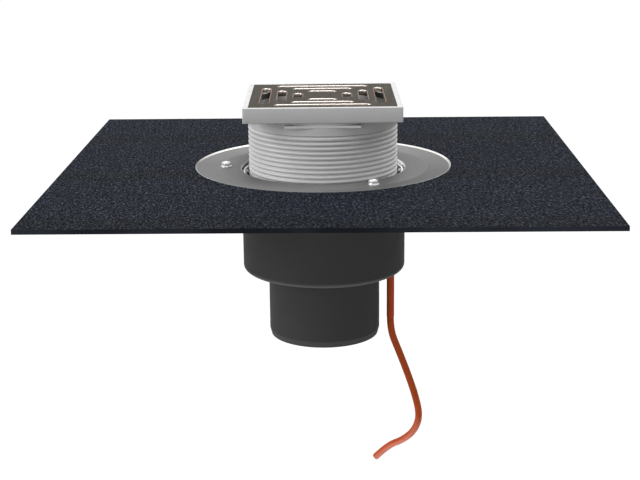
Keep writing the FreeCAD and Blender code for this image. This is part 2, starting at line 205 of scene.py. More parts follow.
def loft(rings, closed=True):
    """Vertices and faces of a skin over rings of equal length; an open skin gets a face at each end."""
    n = len(rings[0])
    verts = [point for ring in rings for point in ring]
    faces = []
    count = len(rings) if closed else len(rings) - 1
    for i in range(count):
        a, b = i * n, ((i + 1) % len(rings)) * n
        for k in range(n):
            m = (k + 1) % n
            faces.append((a + k, a + m, b + m, b + k))
    if not closed:
        last = len(verts) - n
        faces += [tuple(range(n)), tuple(range(last, last + n))]
    return verts, faces


def turned(section, steps=CIRCLE_STEPS, closed=True):
    return loft([circle_ring(r, z, steps) for r, z in section], closed)


def merged(*meshes):
    verts, faces = [], []
    for found_verts, found_faces in meshes:
        start = len(verts)
        verts += found_verts
        faces += [tuple(start + i for i in face) for face in found_faces]
    return verts, faces


def moved(mesh, x=0.0, y=0.0, degrees=0.0):
    """The mesh shifted, then turned about the axis."""
    c, s = math.cos(math.radians(degrees)), math.sin(math.radians(degrees))
    verts = []
    for vx, vy, vz in mesh[0]:
        px, py = vx + x, vy + y
        verts.append((px * c - py * s, px * s + py * c, vz))
    return verts, mesh[1]


def block(x_low, x_high, y_low, y_high, z_low, z_high):
    verts = [(x, y, z) for x in (x_low, x_high) for y in (y_low, y_high) for z in (z_low, z_high)]
    faces = [(0, 1, 3, 2), (4, 6, 7, 5), (0, 4, 5, 1), (2, 3, 7, 6), (0, 2, 6, 4), (1, 5, 7, 3)]
    return verts, faces


def piece(name, mesh, body, material, stands_for=(), bevel=0.0, sharp_deg=SHARP_DEG):
    """A shown piece from vertices in millimetres, with outward normals and smooth shading."""
    data = bpy.data.meshes.new(name)
    data.from_pydata([(x * MM, y * MM, z * MM) for x, y, z in mesh[0]], [], mesh[1])
    data.validate()
    made = bpy.data.objects.new(name, data)
    bpy.context.scene.collection.objects.link(made)
    outward(data)
    if bevel:
        add_bevel(made, bevel)
    data.shade_smooth()
    data.set_sharp_from_angle(angle=math.radians(sharp_deg))
    data.materials.append(material)
    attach(made, body)
    if stands_for:
        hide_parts(*stands_for)
    return made


def outward(data):
    work = bmesh.new()
    work.from_mesh(data)
    bmesh.ops.recalc_face_normals(work, faces=work.faces)
    work.to_mesh(data)
    work.free()


def add_bevel(made, width):
    bevel = made.modifiers.new("edges", "BEVEL")
    bevel.width = width * MM
    bevel.segments = 3
    bevel.limit_method = "ANGLE"
    bevel.angle_limit = math.radians(BEVEL_FROM_DEG)
    bevel.harden_normals = True


def tint(made, materials, choose):
    """Further materials for some faces: choose numbers a face's material by radius, height and tilt.

    The tilt is 1 for a face that looks up, 0 for an upright one and -1 for one that looks down."""
    for material in materials:
        made.data.materials.append(material)
    for face in made.data.polygons:
        radius = math.hypot(face.center.x, face.center.y) / MM
        face.material_index = choose(radius, face.center.z / MM, face.normal.z)


# Materials

class Nodes:
    """Short way to add and join shader nodes."""

    # The mix node's sockets for colours, which share their names with those for plain values
    COLOUR_INPUTS = (6, 7)
    COLOUR_OUTPUT = 2

    def __init__(self, name):
        self.material = bpy.data.materials.new(name)
        self.material.use_nodes = True
        self.tree = self.material.node_tree
        self.tree.nodes.clear()
        self.out = self.tree.nodes.new("ShaderNodeOutputMaterial")
        self.shader = self.tree.nodes.new("ShaderNodeBsdfPrincipled")
        self.join(self.shader.outputs["BSDF"], self.out.inputs["Surface"])
        self.place = self.tree.nodes.new("ShaderNodeTexCoord").outputs["Object"]

    def join(self, source, target):
        self.tree.links.new(source, target)

    def base(self, colour):
        self.join(colour, self.shader.inputs["Base Color"])

    def gloss(self, value, low, high):
        """Roughness that follows a value."""
        self.join(self.span(value, low, high), self.shader.inputs["Roughness"])

    def relief(self, normal):
        self.join(normal, self.shader.inputs["Normal"])

    def axes(self, vector):
        """The vector's X, Y and Z."""
        node = self.tree.nodes.new("ShaderNodeSeparateXYZ")
        self.join(vector, node.inputs["Vector"])
        return node.outputs

    def facing(self):
        """The X, Y and Z of the surface's normal."""
        return self.axes(self.tree.nodes.new("ShaderNodeNewGeometry").outputs["Normal"])

    def set(self, **values):
        for key, value in values.items():
            self.shader.inputs[key.replace("_", " ")].default_value = value

    def mapping(self, scale=(1, 1, 1), turn=(0, 0, 0), vector=None):
        node = self.tree.nodes.new("ShaderNodeMapping")
        node.inputs["Scale"].default_value = scale
        node.inputs["Rotation"].default_value = turn
        self.join(vector or self.place, node.inputs["Vector"])
        return node.outputs["Vector"]

    def noise(self, scale, detail=3.0, rough=0.5, distortion=0.0, vector=None):
        node = self.tree.nodes.new("ShaderNodeTexNoise")
        node.inputs["Scale"].default_value = scale
        node.inputs["Detail"].default_value = detail
        node.inputs["Roughness"].default_value = rough
        node.inputs["Distortion"].default_value = distortion
        self.join(vector or self.place, node.inputs["Vector"])
        return node.outputs["Fac"]

    def cells(self, scale, vector):
        node = self.tree.nodes.new("ShaderNodeTexVoronoi")
        node.inputs["Scale"].default_value = scale
        self.join(vector, node.inputs["Vector"])
        return node.outputs["Distance"]

    def radius(self, place):
        """Distance from the drain's axis."""
        across = self.math("MULTIPLY", place["X"], place["X"])
        along = self.math("MULTIPLY", place["Y"], place["Y"])
        return self.math("SQRT", self.math("ADD", across, along))

    def ramp(self, value, stops):
        node = self.tree.nodes.new("ShaderNodeValToRGB")
        while len(node.color_ramp.elements) < len(stops):
            node.color_ramp.elements.new(0.5)
        for element, (at, colour) in zip(node.color_ramp.elements, stops):
            element.position = at
            element.color = (*colour, 1)
        self.join(value, node.inputs["Fac"])
        return node.outputs["Color"]

    def span(self, value, low, high, from_low=0.3, from_high=0.7):
        """The value brought from one range to another and kept inside it."""
        node = self.tree.nodes.new("ShaderNodeMapRange")
        node.inputs["From Min"].default_value = from_low
        node.inputs["From Max"].default_value = from_high
        node.inputs["To Min"].default_value = low
        node.inputs["To Max"].default_value = high
        self.join(value, node.inputs["Value"])
        return node.outputs["Result"]

    def mix(self, factor, a, b, blend="MIX"):
        node = self.tree.nodes.new("ShaderNodeMix")
        node.data_type = "RGBA"
        node.blend_type = blend
        if isinstance(factor, float):
            node.inputs["Factor"].default_value = factor
        else:
            self.join(factor, node.inputs["Factor"])
        for source, index in zip((a, b), self.COLOUR_INPUTS):
            if isinstance(source, tuple):
                node.inputs[index].default_value = (*source, 1)
            else:
                self.join(source, node.inputs[index])
        return node.outputs[self.COLOUR_OUTPUT]

    def math(self, kind, *sources):
        node = self.tree.nodes.new("ShaderNodeMath")
        node.operation = kind
        for index, source in enumerate(sources):
            if isinstance(source, (int, float)):
                node.inputs[index].default_value = source
            else:
                self.join(source, node.inputs[index])
        return node.outputs[0]

    def bump(self, height, strength, distance, normal=None):
        node = self.tree.nodes.new("ShaderNodeBump")
        node.inputs["Strength"].default_value = strength
        node.inputs["Distance"].default_value = distance
        self.join(height, node.inputs["Height"])
        if normal:
            self.join(normal, node.inputs["Normal"])
        return node.outputs["Normal"]


def grey(tone):
    return (tone, tone, tone)


def shades(colour, spread):
    """Darker, plain and lighter stops round a colour."""
    return [
        (0.3, tuple(c * (1 - spread) for c in colour)),
        (0.5, colour),
        (0.7, tuple(min(1.0, c * (1 + spread)) for c in colour)),
    ]


CLOUD_SCALE = 22
MOULD_SCALE = 2600
GLOSS_SCALE = 60
FINE_RELIEF = 0.0002
UPWARD = (0.6, 0.95)
GROOVE_SPAN_R = (0.0710, 0.0720)
GROOVE_SPAN_Z = (0.040, 0.004)


def plastic(name, colour, rough=0.45, specular=0.4, grain=0.04, cloud=0.05, top=None, groove=None):
    """Moulded plastic: faint clouding, a fine moulded texture and slow changes of gloss.

    Upward faces take the colour top, a painted light. The pair groove gives the rings' grooves their
    tones, high and low: painted shade from its first tone high up, and painted light from its second,
    lighter tone low down."""
    m = Nodes(name)
    base = m.ramp(m.noise(CLOUD_SCALE, 4), shades(colour, cloud))
    # Painted light: upward faces are lighter
    if top:
        base = m.mix(m.span(m.facing()["Z"], 0.0, 1.0, *UPWARD), base, top)
    # Painted shade in the grooves and the bore, darkest high up, with painted light low down
    if groove:
        place = m.axes(m.place)
        tone = m.mix(m.span(place["Z"], 0.0, 1.0, *GROOVE_SPAN_Z), *groove)
        base = m.mix(m.span(m.radius(place), 1.0, 0.0, *GROOVE_SPAN_R), base, tone)
    m.base(base)
    m.gloss(m.noise(GLOSS_SCALE, 3), rough - 0.06, rough + 0.08)
    m.relief(m.bump(m.noise(MOULD_SCALE, 2), grain, FINE_RELIEF))
    m.set(Specular_IOR_Level=specular)
    return m.material


def body_plastic():
    """Black moulded plastic, matt, with painted light on faces that look down."""
    m = Nodes("body_plastic")
    colour = m.ramp(m.noise(CLOUD_SCALE, 4), shades(grey(0.045), 0.04))
    # Painted light: faces that look down are lighter
    under = m.span(m.facing()["Z"], 0.0, 1.0, -0.05, -0.7)
    m.base(m.mix(under, colour, grey(0.11)))
    m.gloss(m.noise(GLOSS_SCALE, 3), 0.55, 0.68)
    m.relief(m.bump(m.noise(MOULD_SCALE, 2), 0.04, FINE_RELIEF))
    m.set(Specular_IOR_Level=0.03)
    return m.material


def brushed(name, colour, rough, stretch, tint=grey(1), depth=0.05, spread=0.12, metallic=1.0, sway=0.08):
    """Metal with fine brushing, which stretch sets in lines per metre along each axis."""
    m = Nodes(name)
    lines = m.noise(1.0, 3, 0.6, vector=m.mapping(stretch))
    broad = m.noise(14, 3)
    plain = m.ramp(lines, shades(colour, spread))
    m.base(m.mix(m.span(broad, 0.0, 0.35), plain, tuple(c * 0.8 for c in colour)))
    m.gloss(lines, rough - sway, rough + sway)
    m.relief(m.bump(lines, depth, FINE_RELIEF))
    m.set(Metallic=metallic, Specular_Tint=(*tint, 1))
    return m.material


def painted_highlight_edge(name, dark, light, side, low, high, rough=0.4, metallic=0.5):
    """Rounded steel edge with a painted highlight where it faces a side of the drain, darker where it
    turns away.
    """
    m = Nodes(name)
    facing = m.facing()
    # Painted highlight: lighter where the normal faces the given side
    across = m.math("MULTIPLY", facing["X"], side[0])
    towards = m.math("MULTIPLY_ADD", facing["Y"], side[1], across)
    m.base(m.mix(m.span(towards, 0.0, 1.0, low, high), dark, light))
    m.gloss(m.noise(300, 2), rough - 0.04, rough + 0.04)
    m.set(Metallic=metallic, Specular_IOR_Level=0.3)
    return m.material


FLANGE_TONE = grey(0.150)
# Painted sheen and painted shade round the cone, and a painted highlight along the crease
SHEEN_TONE = grey(0.235)
PAINTED_SHADE_TONE = grey(0.088)
CREASE_TONE = grey(0.19)
CONE_SPAN_R = (0.1005, 0.1025)
CREASE_LINE_R = 0.1015
ARCS_PER_M = 620.0
ARCS_ROUND = 2.2
PAINTED_SHADE_TURN = 0.8


def flange_steel():
    """Pressed sheet with faint wear arcs round the axis, a painted sheen and a painted shade that change
    round its cone, and a painted highlight along the crease.
    """
    m = Nodes("flange_steel")
    place = m.axes(m.place)
    radius = m.radius(place)
    angle = m.math("ARCTAN2", place["Y"], place["X"])
    polar = m.tree.nodes.new("ShaderNodeCombineXYZ")
    m.join(m.math("MULTIPLY", radius, ARCS_PER_M), polar.inputs["X"])
    m.join(m.math("MULTIPLY", angle, ARCS_ROUND), polar.inputs["Y"])
    arcs = m.noise(1.0, 3, 0.6, vector=polar.outputs["Vector"])
    lines = m.noise(1.0, 3, 0.6, vector=m.mapping((14, 700, 700)))
    plain = m.mix(0.4, m.ramp(arcs, shades(FLANGE_TONE, 0.20)), m.ramp(lines, shades(FLANGE_TONE, 0.08)))
    cone = m.span(radius, 0.0, 1.0, *CONE_SPAN_R)
    # Painted sheen on one side of the cone
    sheen = m.math("MULTIPLY", cone, m.span(m.math("SINE", angle), 0.0, 1.0, 0.1, 0.75))
    plain = m.mix(sheen, plain, SHEEN_TONE)
    # Painted shade on the cone's other side
    turn = m.math("COSINE", m.math("ADD", angle, PAINTED_SHADE_TURN))
    cone_shade = m.math("MULTIPLY", cone, m.span(turn, 0.0, 1.0, 0.68, 1.0))
    plain = m.mix(cone_shade, plain, PAINTED_SHADE_TONE)
    # Painted highlight along the crease
    crease = m.math("ABSOLUTE", m.math("SUBTRACT", radius, CREASE_LINE_R))
    m.base(m.mix(m.span(crease, 0.4, 0.0, 0.0003, 0.0011), plain, CREASE_TONE))
    m.gloss(arcs, 0.49, 0.62)
    m.relief(m.bump(arcs, 0.06, FINE_RELIEF))
    m.set(Metallic=0.35, Specular_Tint=(0.6, 0.6, 0.6, 1))
    return m.material


GRAIN_SCALE = 680
FLAKE_SCALE = 430
GRAIN_TURN = -0.3
GRAIN_STRETCH = (1.0, 0.34, 1.0)
BAND_TURNS_PER_M = 34.4
BAND_START = 2.95
BAND_WANDER = 0.8
WARM_TINT = (0.86, 0.87, 0.78)


def bitumen():
    """Bitumen sheet with a mineral finish: small dark grains, lighter flakes and slow warmer bands."""
    m = Nodes("bitumen")
    slant = m.mapping(GRAIN_STRETCH, vector=m.mapping(turn=(0, 0, GRAIN_TURN)))
    grain = m.noise(GRAIN_SCALE, 3, 0.6, 0.5, slant)
    flakes = m.cells(FLAKE_SCALE, slant)
    base = m.ramp(grain, [
        (0.37, (0.0006, 0.0009, 0.0020)),
        (0.49, (0.0086, 0.0101, 0.0152)),
        (0.59, (0.0205, 0.0234, 0.0325)),
        (0.73, (0.0900, 0.1000, 0.1270)),
    ])
    wander = m.math("MULTIPLY_ADD", m.noise(9, 2, 0.5), BAND_WANDER, BAND_START)
    wave = m.math("SINE", m.math("MULTIPLY_ADD", m.axes(m.place)["Y"], BAND_TURNS_PER_M, wander))
    warm = m.mix(1.0, base, WARM_TINT, "MULTIPLY")
    base = m.mix(m.span(wave, 0.0, 1.0, 0.7, 0.95), base, warm)
    rim = m.ramp(m.noise(11, 2), [(0.42, (0.0085, 0.0100, 0.0145)), (0.62, (0.0210, 0.0235, 0.0310))])
    m.base(m.mix(m.span(m.facing()["Z"], 1.0, 0.0, 0.2, 0.5), base, rim))
    m.gloss(grain, 0.85, 0.62)
    coarse = m.bump(m.noise(160, 3, 0.5), 0.35, 0.0008)
    height = m.math("ADD", grain, m.math("MULTIPLY", flakes, -0.5))
    m.relief(m.bump(height, 0.7, 0.0007, coarse))
    m.set(Specular_IOR_Level=0.02)
    return m.material


# Painted light on a lead's lower end, and on its underside
END_LIGHT_SPAN_Z = (-0.235, -0.29)
END_LIGHT_COLOUR = (0.50, 0.078, 0.018)
PALE_SPAN_Z = (-0.262, -0.292)
PALE_COLOUR = (0.95, 0.34, 0.25)


def silicone(name, dark, light, rough=0.42, specular=0.4, painted_light_end=False):
    """Smooth silicone; a flag gives a lead's lower end painted light, paler still on its underside."""
    m = Nodes(name)
    colour = m.ramp(m.noise(45, 3), [(0.3, dark), (0.7, light)])
    # Painted light on the lower end, and painted light from below on its underside
    if painted_light_end:
        height = m.axes(m.place)["Z"]
        colour = m.mix(m.span(height, 0.0, 1.0, *END_LIGHT_SPAN_Z), colour, END_LIGHT_COLOUR)
        low = m.span(height, 0.0, 1.0, *PALE_SPAN_Z)
        under = m.math("MULTIPLY", low, m.span(m.facing()["Z"], 0.0, 1.0, 0.35, -0.6))
        colour = m.mix(under, colour, PALE_COLOUR)
    m.base(colour)
    m.gloss(m.noise(90, 2), rough - 0.05, rough + 0.08)
    m.relief(m.bump(m.noise(900, 2), 0.05, FINE_RELIEF))
    m.set(Specular_IOR_Level=specular)
    return m.material


mat_body = body_plastic()
mat_cover = plastic("cover_plastic", (0.028, 0.028, 0.029), 0.55, 0.25)
# The grooves take painted shade, darkest high up, and painted light low down
mat_extension = plastic("extension_plastic", grey(0.54), 0.38, 0.5, 0.02, 0.03,
                        groove=(grey(0.39), grey(0.62)))
# The frame's upward faces are painted lighter than its sides: painted light
mat_frame = plastic("frame_plastic", grey(0.44), 0.34, 0.5, 0.012, 0.02, top=grey(0.53))
# Dark plastic that stands in for shade on the frame's bore: painted shade
mat_shade = plastic("frame_bore_painted_shade", (0.075, 0.070, 0.065), 0.6, 0.2)
# Light plastic on the bore below the step: painted light
mat_bore = plastic("bore_painted_light", grey(0.66), 0.35, 0.5)
mat_holder = plastic("holder_plastic", grey(0.90), 0.35, 0.5)
# Painted shade for the holder's wall in the dark gap
mat_wall = plastic("holder_wall_painted_shade", grey(0.36), 0.4, 0.4)
mat_seal = plastic("seal_rubber", grey(0.016), 0.6, 0.3)
mat_flange = flange_steel()
# Steel edges with painted highlights on the flange's rim and inner bend
mat_edge = painted_highlight_edge("flange_edge_highlight", (0.16, 0.16, 0.157), (0.96, 0.955, 0.94),
                         side=(-0.14, -0.99), low=-0.05, high=0.2)
mat_bend = painted_highlight_edge("flange_bend_highlight", grey(0.12), (1.0, 1.0, 0.99),
                         side=(-0.45, -0.89), low=0.1, high=0.5, rough=0.25, metallic=1.0)
# The plate and its slot lips are one steel sheet: the plate is given a far darker copy of the steel's
# colour than the lips, painted shade
mat_grate = brushed("grate_steel", (0.076, 0.069, 0.061), 0.42, (300, 30, 300),
                    tint=(0.55, 0.53, 0.50), depth=0.02, spread=0.03)
mat_lip = brushed("lip_steel", (0.56, 0.515, 0.48), 0.3, (20, 20, 20),
                  tint=(0.42, 0.29, 0.22), depth=0.0, spread=0.02, sway=0.01)
mat_fastener = brushed("fastener_steel", grey(0.86), 0.2, (600, 600, 900),
                       depth=0.03, spread=0.06, metallic=0.7)
mat_bitumen = bitumen()
mat_heater = silicone("heater_pad", (0.30, 0.075, 0.04), (0.38, 0.10, 0.055), 0.6)
mat_sleeve = silicone("lead_sleeve", (0.34, 0.050, 0.011), (0.41, 0.062, 0.015), 0.5, 0.1)
mat_sheath = silicone("lead_sheath", (0.33, 0.052, 0.010), (0.38, 0.062, 0.013), 0.45, 0.08, painted_light_end=True)

lead.data.materials.append(mat_sheath)


def dress(node, material):
    """A carried-over CAD node takes a finished material."""
    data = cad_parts[node].data
    data.materials.clear()
    data.materials.append(material)


dress("drain_body", mat_body)
dress("bitumen_collar", mat_bitumen)
dress("lip_seal", mat_seal)
dress("heating_element", mat_heater)
dress("heater_cover", mat_cover)


# Extension tube with rounded rings

RING_PITCH = 4.5
RING_COUNT = 15
TUBE_R = 72.5
TUBE_R_IN = 68.9
TUBE_FOOT = -45.0
FOOT_CHAMFER = 1.5
GROOVE_R = 70.3
FIRST_GROOVE_Z = 39.15
FLANK = 1.2
CREST = 2.1
CREST_ROUND = 1.7
SEAM_R = 71.0
SEAM_Z = 44.35
SPLICE_R = 70.7
SPLICE_TOP = 54.4


def make_extension():
    corners = [
        (TUBE_R_IN, TUBE_FOOT, 0.5),
        (TUBE_R - FOOT_CHAMFER, TUBE_FOOT, 0.5),
        (TUBE_R, TUBE_FOOT + FOOT_CHAMFER, 0.8),
        (TUBE_R, FIRST_GROOVE_Z - RING_PITCH * (RING_COUNT - 1) - FLANK, 0.8),
    ]
    for k in reversed(range(RING_COUNT)):
        groove_z = FIRST_GROOVE_Z - RING_PITCH * k
        corners += [
            (GROOVE_R, groove_z, 0.5),
            (TUBE_R, groove_z + FLANK, CREST_ROUND),
            (TUBE_R, groove_z + FLANK + CREST, CREST_ROUND),
        ]
    corners += [(SEAM_R, SEAM_Z), (SPLICE_R, SEAM_Z), (SPLICE_R, SPLICE_TOP), (TUBE_R_IN, SPLICE_TOP)]
    piece("extension_rings", turned(rounded(corners, 4)), "extension",
          mat_extension, ["extension_tube"])


make_extension()


# Grate frame, set with a small turn as in the photo

TURN_DEG = 0.9
FRAME_HALF = 74.0
FRAME_LOW = 57.5
FRAME_TOP = 71.6
FRAME_CORNER_R = 1.5
RECESS_HALF = 69.0
RECESS_FLOOR = 67.1
COLLAR_LOW = 44.4
SOCKET_R = 70.75
SOCKET_TOP = 54.7
BORE_STEP = 61.6
LEDGE_HALF = 35.2
LEDGE_FACE = 72.6
LEDGE_ROOT_R = 71.6
LEDGE_LOW = 52.2
LEDGE_HIGH = 54.5
LEDGE_STEPS = 16


def ledge_bar():
    """Straight ledge whose inner side follows an arc inside the round collar's wall."""
    half_angle = math.asin(LEDGE_HALF / LEDGE_ROOT_R)
    sections = []
    for k in range(LEDGE_STEPS + 1):
        angle = half_angle * (2 * k / LEDGE_STEPS - 1)
        x, y = LEDGE_ROOT_R * math.sin(angle), -LEDGE_ROOT_R * math.cos(angle)
        face = [(x, -LEDGE_FACE, LEDGE_LOW), (x, -LEDGE_FACE, LEDGE_HIGH)]
        root = [(x, y, LEDGE_HIGH), (x, y, LEDGE_LOW)]
        sections.append(face + root)
    return loft(sections, closed=False)


def frame_part(radius, z, tilt):
    """The round collar is as light as the tube. Its bore is painted dark down to the step, a painted
    shade, and painted lighter below the step, a painted light.
    """
    if radius < TUBE_R_IN + 0.1 and z < RECESS_FLOOR - 0.1:
        # Painted shade above the step, painted light below it
        return 2 if z > BORE_STEP else 3
    return 1 if z < FRAME_LOW - 0.3 else 0


def make_frame():
    collar = [(SOCKET_R, COLLAR_LOW), (TUBE_R, COLLAR_LOW, 0.5), (TUBE_R, FRAME_LOW)]
    collar = rounded(collar, 4, False)[:-1]
    collar += [(TUBE_R, FRAME_LOW - 0.25), (TUBE_R + 0.1, FRAME_LOW)]
    wall = rounded([
        (TUBE_R, FRAME_LOW),
        (FRAME_HALF, FRAME_LOW, 0.35),
        (FRAME_HALF, FRAME_TOP, 0.45),
        (RECESS_HALF, FRAME_TOP, 0.35),
        (RECESS_HALF, RECESS_FLOOR),
    ], 4, False)[1:]
    bore = [
        (TUBE_R_IN, RECESS_FLOOR - HAIR),
        (TUBE_R_IN, BORE_STEP),
        (TUBE_R_IN, SOCKET_TOP),
        (SOCKET_R, SOCKET_TOP),
    ]
    rings = [matching_circle(r, z, FRAME_HALF) for r, z in collar]
    rings += [square_ring(d, max(0.6, FRAME_CORNER_R + d - FRAME_HALF), z) for d, z in wall]
    rings += [matching_circle(r, z, FRAME_HALF) for r, z in bore]
    shell = moved(loft(rings), degrees=TURN_DEG)
    made = piece("frame_shell", shell, "frame", mat_frame, ["grate_frame"])
    tint(made, [mat_extension, mat_shade, mat_bore], frame_part)
    bars = merged(*[moved(ledge_bar(), degrees=TURN_DEG + 90 * k) for k in range(4)])
    piece("frame_ledges", bars, "frame", mat_extension, bevel=0.35)


make_frame()


# Grate

GRATE_HALF = 68.7
GRATE_TOP = 71.4
GRATE_T = 1.5
GRATE_UNDER = GRATE_TOP - GRATE_T
GRATE_CORNER_R = 2.0
SKIRT_T = 1.5
EDGE = 0.1
SLOT_W = 8.0
SLOT_RINGS = 3
SLOT_FIRST = 23.7
SLOT_PITCH = 15.65
SLOT_SETBACK = 10.4
LIP_T = 0.9
LIP_BEND = 1.1
LIP_LOW = GRATE_UNDER - 2.4


def slot_places():
    """Distance from the axis and overall length of each slot on one side of the grate."""
    distances = [SLOT_FIRST + SLOT_PITCH * k for k in range(SLOT_RINGS)]
    return [(distance, 2 * (distance - SLOT_SETBACK)) for distance in distances]


def plate_outlines():
    outlines = [square_ring(GRATE_HALF - EDGE, GRATE_CORNER_R - EDGE, 0)]
    for distance, length in slot_places():
        slot = racetrack_ring(length, SLOT_W, LIP_BEND + EDGE, 0)
        outlines += [moved((slot, []), y=-distance, degrees=90 * k)[0] for k in range(4)]
    return outlines


def plate_mesh():
    """Flat plate with slots, filled by a two-dimensional curve whose edges are rounded."""
    curve = bpy.data.curves.new("plate_curve", "CURVE")
    curve.dimensions = "2D"
    curve.fill_mode = "BOTH"
    curve.extrude = (GRATE_T / 2 - EDGE) * MM
    curve.bevel_depth = EDGE * MM
    curve.bevel_resolution = 2
    for ring in plate_outlines():
        spline = curve.splines.new("POLY")
        spline.points.add(len(ring) - 1)
        for point, (x, y, _) in zip(spline.points, ring):
            point.co = (x * MM, y * MM, 0, 1)
        spline.use_cyclic_u = True
    holder = bpy.data.objects.new("plate_curve", curve)
    bpy.context.scene.collection.objects.link(holder)
    bpy.context.view_layer.update()
    found = bpy.data.meshes.new_from_object(holder.evaluated_get(bpy.context.evaluated_depsgraph_get()))
    middle = GRATE_TOP - GRATE_T / 2
    verts = [(v.co.x / MM, v.co.y / MM, v.co.z / MM + middle) for v in found.vertices]
    faces = [tuple(f.vertices) for f in found.polygons]
    bpy.data.objects.remove(holder)
    bpy.data.curves.remove(curve)
    bpy.data.meshes.remove(found)
    return verts, faces


def skirt_mesh():
    section = rounded([
        (GRATE_HALF - SKIRT_T, GRATE_UNDER + 0.1),
        (GRATE_HALF - SKIRT_T, RECESS_FLOOR, 0.3),
        (GRATE_HALF - HAIR, RECESS_FLOOR, 0.3),
        (GRATE_HALF - HAIR, GRATE_TOP - 0.5),
    ], 3)
    return loft([square_ring(d, GRATE_CORNER_R if d > GRATE_HALF - 1 else 0.6, z) for d, z in section])


def make_grate():
    plate = moved(merged(plate_mesh(), skirt_mesh()), degrees=TURN_DEG)
    piece("grate_plate", plate, "frame", mat_grate, ["grate"])
    lip_section = rounded([
        (LIP_BEND, GRATE_TOP - HAIR),
        (0.0, GRATE_TOP - HAIR, LIP_BEND - 0.05),
        (0.0, LIP_LOW, 0.2),
        (LIP_T, LIP_LOW, 0.2),
        (LIP_T, GRATE_UNDER, 0.3),
        (LIP_BEND, GRATE_UNDER),
    ], 8)
    number = 0
    for distance, length in slot_places():
        ring = loft([racetrack_ring(length, SLOT_W, offset, z) for offset, z in lip_section])
        for k in range(4):
            number += 1
            lip = moved(ring, y=-distance, degrees=90 * k + TURN_DEG)
            piece(f"slot_lip_{number}", lip, "frame", mat_lip)


make_grate()


# Clamping flange

FLANGE_T = 1.2
FLANGE_TOP = 1.4
HOLE_R = 79.1
BEND_LOW = -3.4
CREASE_R = 101.5
RIM_R = 122.4
RIM_TOP = 2.7
FLANGE_R = 124.6
FLANGE_EDGE_TOP = 4.4
FLANGE_STEPS = 240


def flange_part(radius, z, tilt):
    """The inner bend and the upper face of the turned-up edge are smoother steel with painted highlights.
    """
    if radius < HOLE_R + 1.8:
        return 2
    return 1 if radius > RIM_R + 0.2 and tilt > 0.5 else 0


def make_flange():
    section = rounded([
        (HOLE_R, BEND_LOW, 0.3),
        (HOLE_R, FLANGE_TOP, 1.6),
        (CREASE_R, FLANGE_TOP, 4.0),
        (RIM_R, RIM_TOP, 1.2),
        (FLANGE_R, FLANGE_EDGE_TOP, 0.3),
        (FLANGE_R, FLANGE_EDGE_TOP - FLANGE_T, 0.3),
        (RIM_R, RIM_TOP - FLANGE_T, 0.6),
        (CREASE_R, FLANGE_TOP - FLANGE_T, 4.0),
        (HOLE_R + FLANGE_T, FLANGE_TOP - FLANGE_T, 0.5),
        (HOLE_R + FLANGE_T, BEND_LOW, 0.3),
    ], 5)
    made = piece("flange_pressing", turned(section, FLANGE_STEPS), "drain", mat_flange,
                 ["clamping_flange"], sharp_deg=50)
    tint(made, [mat_edge, mat_bend], flange_part)


make_flange()


# Clamping bolts, washers and nuts

BOLT_CIRCLE_R = 95.0
FIRST_BOLT_DEG = 60
FLATS = 8.0
HEX_STEPS = 72
CHAMFER_DEG = 30
NUT_LOW = 2.4
NUT_TOP = 6.0
NUT_TURN_DEG = 15
WASHER_R = 5.3
WASHER_R_IN = 2.8
WASHER_LOW = 1.4
HEAD_TOP = -17.7
HEAD_H = 3.5
BOLT_R = 2.5
THREAD_ROOT_R = 2.16
THREAD_PITCH = 0.8
THREAD_FROM = 1.0
THREAD_TO = 5.4
BOLT_TIP = 6.6
HEX_EDGE = 0.12
BORE_CHAMFER = 0.35


def hex_ring(z_at, shrink=0.0):
    """Hexagon whose height follows a chamfer: z_at gives the height at each radius."""
    ring = []
    for k in range(HEX_STEPS):
        angle = 2 * math.pi * k / HEX_STEPS
        local = (angle + math.pi / 6) % (math.pi / 3) - math.pi / 6
        r = (FLATS / 2 - shrink) / math.cos(abs(local) - math.pi / 6)
        ring.append((r * math.cos(angle), r * math.sin(angle), z_at(r)))
    return ring


def hexagon(low, high, bore):
    """Hexagonal nut or head with chamfered corners."""
    flat_r = FLATS / 2 * 0.95
    slope = math.tan(math.radians(CHAMFER_DEG))

    def top(r):
        return high - max(0.0, r - flat_r) * slope

    def bottom(r):
        return low + max(0.0, r - flat_r) * slope

    return loft([
        circle_ring(bore, high - BORE_CHAMFER, HEX_STEPS),
        circle_ring(bore + BORE_CHAMFER, high, HEX_STEPS),
        circle_ring(flat_r, high, HEX_STEPS),
        hex_ring(top, HEX_EDGE / 2),
        hex_ring(lambda r: top(r) - HEX_EDGE),
        hex_ring(lambda r: bottom(r) + HEX_EDGE),
        hex_ring(bottom, HEX_EDGE / 2),
        circle_ring(flat_r, low, HEX_STEPS),
        circle_ring(bore + BORE_CHAMFER, low, HEX_STEPS),
        circle_ring(bore, low + BORE_CHAMFER, HEX_STEPS),
    ])


def bolt_mesh():
    """Shank with thread ridges, and a hexagonal head under it."""
    section = [(HAIR, HEAD_TOP), (BOLT_R, HEAD_TOP)]
    z = THREAD_FROM
    while z < THREAD_TO:
        section += [(BOLT_R - HAIR, z), (THREAD_ROOT_R, z + THREAD_PITCH / 2)]
        z += THREAD_PITCH
    section += [(BOLT_R - HAIR, NUT_TOP), (2.2, 6.5), (2.05, BOLT_TIP), (HAIR, BOLT_TIP)]
    return merged(turned(section, 48, closed=False), hexagon(HEAD_TOP - HEAD_H, HEAD_TOP, 0.4))


